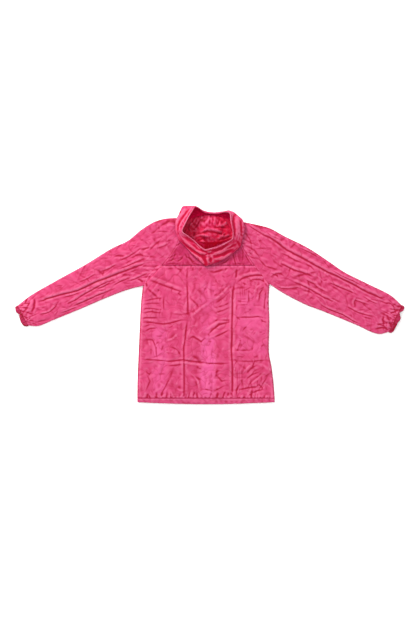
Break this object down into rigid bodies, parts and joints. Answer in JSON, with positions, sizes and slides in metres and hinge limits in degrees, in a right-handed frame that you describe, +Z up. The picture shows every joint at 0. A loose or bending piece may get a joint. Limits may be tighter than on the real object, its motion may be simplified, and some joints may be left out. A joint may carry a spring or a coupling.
{
  "type": "hooded rain jacket",
  "caption": "Child's hooded rain jacket laid flat on its front, hood thrown back, with raglan sleeves, gathered cuffs and a front zip.",
  "frame": {"origin": "middle of the jacket's outline, on the surface it lies on", "axes": "+X across the jacket from one cuff to the other, +Y from the hem towards the neck, +Z up off the surface, out of the jacket's back"},
  "size_m": [1.175, 0.5982, 0.0403],
  "materials": {
    "shell": "thin coated nylon, softly glossy and crinkled",
    "hood_shell": "the same thin coated nylon, deeper in colour where it is rolled up",
    "hems": "the same cloth turned up double and stitched",
    "zip_tape": "woven tape with a moulded coil",
    "lacquer": "lacquered zinc casting"
  },
  "bodies": {
    "jacket": {"back_panel": "shell", "back_yoke": "shell", "front_left": "shell", "front_right": "shell", "sleeve_left": "shell", "sleeve_right": "shell", "cuff_left": "hems", "cuff_right": "hems", "hood_left": "hood_shell", "hood_right": "hood_shell", "hood_casing_left": "hems", "hood_casing_right": "hems", "hem_back": "hems", "hem_front_left": "hems", "hem_front_right": "hems", "wind_flap": "hems", "zip": "zip_tape", "zip_slider": "lacquer"},
    "pull": {"zip_pull": "lacquer"}
  },
  "joints": [
    {"name": "pull_swing", "type": "hinge", "parent": "jacket", "child": "pull", "pos_m": [0.001, 0.23, 0.0027], "axis": [1, 0, 0], "range_deg": [0, 165]}
  ]
}
